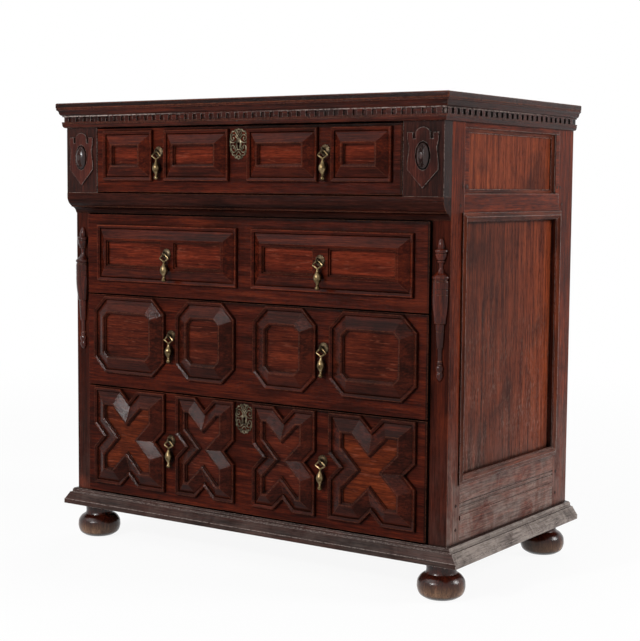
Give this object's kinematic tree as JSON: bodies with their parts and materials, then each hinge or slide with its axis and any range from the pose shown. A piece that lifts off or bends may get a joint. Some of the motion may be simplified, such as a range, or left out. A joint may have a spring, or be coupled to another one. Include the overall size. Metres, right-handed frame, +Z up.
{
  "type": "chest of drawers",
  "caption": "Joined oak chest of drawers with mitred geometric mouldings on the drawer fronts, split spindles, a dentil cornice, brass drop pulls and bun feet.",
  "frame": {"origin": "on the floor, in the middle of the outer width and depth", "axes": "+X to the right of someone who faces the drawers, +Y to the back, +Z up; the drawers open towards -Y"},
  "size_m": [1.02, 0.58, 0.976],
  "materials": {
    "oak": "old wax polish, dark reddish brown",
    "moulding_oak": "old wax polish, darker and glossier",
    "panel_oak": "old wax polish, worn",
    "plain_oak": "dry, unpolished",
    "brass": "worn antique brass",
    "dark_brass": "tarnished antique brass",
    "iron": "old wrought iron"
  },
  "bodies": {
    "carcass": {"back_panels": "plain_oak", "back_rails": "plain_oak", "base_moulding": "moulding_oak", "bun_feet": "oak", "corner_plaques": "moulding_oak", "cornice_moulding": "moulding_oak", "dentil_moulding": "moulding_oak", "drawer_runners": "plain_oak", "front_rails": "oak", "front_stile_left": "oak", "front_stile_right": "oak", "joint_pegs": "oak", "rear_stile_left": "oak", "rear_stile_right": "oak", "side_panel_mouldings": "moulding_oak", "side_panels_left": "panel_oak", "side_panels_right": "panel_oak", "side_rails_left": "oak", "side_rails_right": "oak", "split_spindles": "moulding_oak", "top_board": "oak", "waist_moulding": "moulding_oak"},
    "drawer_1": {"drawer_1_back": "plain_oak", "drawer_1_bottom": "plain_oak", "drawer_1_escutcheon": "dark_brass", "drawer_1_front": "oak", "drawer_1_lock_case": "iron", "drawer_1_mouldings": "moulding_oak", "drawer_1_pull_mounts": "brass", "drawer_1_sides": "plain_oak"},
    "drawer_1_drop_left": {"drawer_1_drop_left": "brass"},
    "drawer_1_drop_right": {"drawer_1_drop_right": "brass"},
    "drawer_1_lock_bolt": {"drawer_1_lock_bolt": "iron"},
    "drawer_2": {"drawer_2_back": "plain_oak", "drawer_2_bottom": "plain_oak", "drawer_2_front": "oak", "drawer_2_mouldings": "moulding_oak", "drawer_2_pull_mounts": "brass", "drawer_2_sides": "plain_oak"},
    "drawer_2_drop_left": {"drawer_2_drop_left": "brass"},
    "drawer_2_drop_right": {"drawer_2_drop_right": "brass"},
    "drawer_3": {"drawer_3_back": "plain_oak", "drawer_3_bottom": "plain_oak", "drawer_3_front": "oak", "drawer_3_mouldings": "moulding_oak", "drawer_3_pull_mounts": "brass", "drawer_3_sides": "plain_oak"},
    "drawer_3_drop_left": {"drawer_3_drop_left": "brass"},
    "drawer_3_drop_right": {"drawer_3_drop_right": "brass"},
    "drawer_4": {"drawer_4_back": "plain_oak", "drawer_4_bottom": "plain_oak", "drawer_4_escutcheon": "dark_brass", "drawer_4_front": "oak", "drawer_4_lock_case": "iron", "drawer_4_mouldings": "moulding_oak", "drawer_4_pull_mounts": "brass", "drawer_4_sides": "plain_oak"},
    "drawer_4_drop_left": {"drawer_4_drop_left": "brass"},
    "drawer_4_drop_right": {"drawer_4_drop_right": "brass"},
    "drawer_4_lock_bolt": {"drawer_4_lock_bolt": "iron"}
  },
  "joints": [
    {"name": "drawer_1_slide", "type": "slide", "parent": "carcass", "child": "drawer_1", "axis": [0, -1, 0], "range_m": [0, 0.3]},
    {"name": "drawer_1_drop_left_swing", "type": "hinge", "parent": "drawer_1", "child": "drawer_1_drop_left", "pos_m": [-0.213, -0.2812, 0.8672], "axis": [-1, 0, 0], "range_deg": [0, 95]},
    {"name": "drawer_1_drop_right_swing", "type": "hinge", "parent": "drawer_1", "child": "drawer_1_drop_right", "pos_m": [0.213, -0.2812, 0.8672], "axis": [-1, 0, 0], "range_deg": [0, 95]},
    {"name": "drawer_1_bolt_throw", "type": "slide", "parent": "drawer_1", "child": "drawer_1_lock_bolt", "axis": [0, 0, 1], "range_m": [0, 0.008]},
    {"name": "drawer_2_slide", "type": "slide", "parent": "carcass", "child": "drawer_2", "axis": [0, -1, 0], "range_m": [0, 0.3]},
    {"name": "drawer_2_drop_left_swing", "type": "hinge", "parent": "drawer_2", "child": "drawer_2_drop_left", "pos_m": [-0.198, -0.2742, 0.6507], "axis": [-1, 0, 0], "range_deg": [0, 95]},
    {"name": "drawer_2_drop_right_swing", "type": "hinge", "parent": "drawer_2", "child": "drawer_2_drop_right", "pos_m": [0.198, -0.2742, 0.6507], "axis": [-1, 0, 0], "range_deg": [0, 95]},
    {"name": "drawer_3_slide", "type": "slide", "parent": "carcass", "child": "drawer_3", "axis": [0, -1, 0], "range_m": [0, 0.3]},
    {"name": "drawer_3_drop_left_swing", "type": "hinge", "parent": "drawer_3", "child": "drawer_3_drop_left", "pos_m": [-0.198, -0.2592, 0.4752], "axis": [-1, 0, 0], "range_deg": [0, 95]},
    {"name": "drawer_3_drop_right_swing", "type": "hinge", "parent": "drawer_3", "child": "drawer_3_drop_right", "pos_m": [0.198, -0.2592, 0.4752], "axis": [-1, 0, 0], "range_deg": [0, 95]},
    {"name": "drawer_4_slide", "type": "slide", "parent": "carcass", "child": "drawer_4", "axis": [0, -1, 0], "range_m": [0, 0.3]},
    {"name": "drawer_4_drop_left_swing", "type": "hinge", "parent": "drawer_4", "child": "drawer_4_drop_left", "pos_m": [-0.198, -0.2592, 0.2477], "axis": [-1, 0, 0], "range_deg": [0, 95]},
    {"name": "drawer_4_drop_right_swing", "type": "hinge", "parent": "drawer_4", "child": "drawer_4_drop_right", "pos_m": [0.198, -0.2592, 0.2477], "axis": [-1, 0, 0], "range_deg": [0, 95]},
    {"name": "drawer_4_bolt_throw", "type": "slide", "parent": "drawer_4", "child": "drawer_4_lock_bolt", "axis": [0, 0, 1], "range_m": [0, 0.008]}
  ]
}
